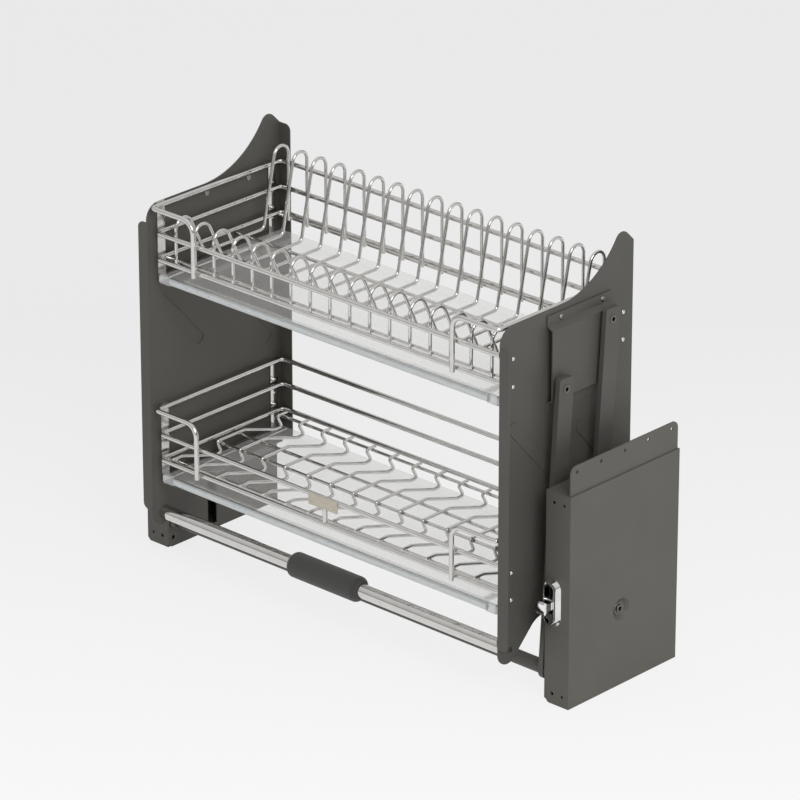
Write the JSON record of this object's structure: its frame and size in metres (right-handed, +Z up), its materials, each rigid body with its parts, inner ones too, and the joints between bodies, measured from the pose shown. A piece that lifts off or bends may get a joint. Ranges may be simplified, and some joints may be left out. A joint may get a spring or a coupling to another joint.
{
  "type": "pull-down dish rack",
  "caption": "Two-tier wire dish rack for a wall cabinet, hung on parallel swing arms between side housings, with a pull handle, drip trays and plate holders.",
  "frame": {"origin": "on the floor plane, under the middle of the rack's width and depth", "axes": "+X to the right seen from the front, +Y to the back of the cabinet, +Z up; the front with the handle faces -Y"},
  "size_m": [0.764, 0.2706, 0.59],
  "materials": {
    "grey_coat": "matt warm grey powder coat",
    "arm_coat": "matt dark grey powder coat",
    "plate_coat": "matt dark grey powder coat",
    "bright_chrome": "polished chrome",
    "zinc_steel": "bright zinc",
    "black_plastic": "matt black",
    "dark_steel": "dark zinc, satin",
    "black_screws": "black oxide",
    "stop_rubber": "matt rubber",
    "grip_foam": "soft matt foam",
    "badge_metal": "satin, warm silver",
    "clear_tray": "clear plastic",
    "lip_metal": "satin pale blue-grey",
    "cap_plastic": "glossy pale grey"
  },
  "bodies": {
    "housings": {"housing_left": "grey_coat", "housing_right": "grey_coat", "inner_cover_left": "grey_coat", "inner_cover_right": "grey_coat", "screw_plate_left": "grey_coat", "screw_plate_right": "grey_coat", "adjuster_bezel_left": "bright_chrome", "adjuster_bezel_right": "bright_chrome", "lift_spring_left": "zinc_steel", "lift_spring_right": "zinc_steel", "damper_left": "black_plastic", "damper_right": "black_plastic", "front_axle_left": "zinc_steel", "front_axle_right": "zinc_steel", "axle_bearings": "zinc_steel", "axle_spacers": "zinc_steel", "rear_axle_left": "dark_steel", "rear_axle_right": "dark_steel", "arm_stops": "stop_rubber"},
    "adjuster_left": {"adjuster_lever_left": "bright_chrome"},
    "adjuster_right": {"adjuster_lever_right": "bright_chrome"},
    "front_arms": {"front_arm_left": "arm_coat", "front_arm_right": "arm_coat", "cross_bar": "arm_coat"},
    "rear_arm_left": {"rear_arm_left": "arm_coat"},
    "rear_arm_right": {"rear_arm_right": "arm_coat"},
    "carriage": {"side_plate_left": "plate_coat", "side_plate_right": "plate_coat", "arm_bracket_left": "plate_coat", "arm_bracket_right": "plate_coat", "arm_pins_left": "dark_steel", "arm_pins_right": "dark_steel", "bracket_screws": "dark_steel", "rivets_left": "zinc_steel", "rivets_right": "zinc_steel", "upper_strips": "bright_chrome", "lower_strips": "bright_chrome", "upper_rails": "bright_chrome", "plate_wires": "bright_chrome", "upper_cross_wires": "bright_chrome", "lower_rails": "bright_chrome", "floor_wires": "bright_chrome", "lower_cross_wires": "bright_chrome", "badge_plate": "badge_metal", "badge_post": "bright_chrome", "upper_runners": "zinc_steel", "lower_runners": "zinc_steel", "handle_tube": "bright_chrome", "handle_grip": "grip_foam", "handle_plugs": "black_plastic", "handle_screws": "black_screws"},
    "upper_drip_tray": {"upper_tray": "clear_tray", "upper_tray_lip": "lip_metal", "upper_tray_caps": "cap_plastic"},
    "lower_drip_tray": {"lower_tray": "clear_tray", "lower_tray_lip": "lip_metal", "lower_tray_caps": "cap_plastic"}
  },
  "joints": [
    {"name": "arm_swing", "type": "hinge", "parent": "housings", "child": "front_arms", "pos_m": [0, -0.06325, 0.039], "axis": [1, 0, 0], "range_deg": [0, 100]},
    {"name": "carriage_level", "type": "hinge", "parent": "front_arms", "child": "carriage", "pos_m": [0, -0.0365, 0.42157], "axis": [1, 0, 0], "range_deg": [-100, 0]},
    {"name": "rear_swing_left", "type": "hinge", "parent": "housings", "child": "rear_arm_left", "pos_m": [-0.33375, 0.02475, 0.108], "axis": [1, 0, 0], "range_deg": [0, 100]},
    {"name": "rear_swing_right", "type": "hinge", "parent": "housings", "child": "rear_arm_right", "pos_m": [0.33375, 0.02475, 0.108], "axis": [1, 0, 0], "range_deg": [0, 100]},
    {"name": "upper_tray_slide", "type": "slide", "parent": "carriage", "child": "upper_drip_tray", "axis": [0, -1, 0], "range_m": [0, 0.2]},
    {"name": "lower_tray_slide", "type": "slide", "parent": "carriage", "child": "lower_drip_tray", "axis": [0, -1, 0], "range_m": [0, 0.2]},
    {"name": "adjuster_turn_left", "type": "hinge", "parent": "housings", "child": "adjuster_left", "pos_m": [-0.3553, -0.08175, 0.145], "axis": [1, 0, 0], "range_deg": [-25, 25]},
    {"name": "adjuster_turn_right", "type": "hinge", "parent": "housings", "child": "adjuster_right", "pos_m": [0.3553, -0.08175, 0.145], "axis": [1, 0, 0], "range_deg": [-25, 25]}
  ],
  "couplings": [
    {"joint": "carriage_level", "follows": "arm_swing", "ratio": -1},
    {"joint": "rear_swing_left", "follows": "arm_swing", "ratio": 1},
    {"joint": "rear_swing_right", "follows": "arm_swing", "ratio": 1}
  ]
}
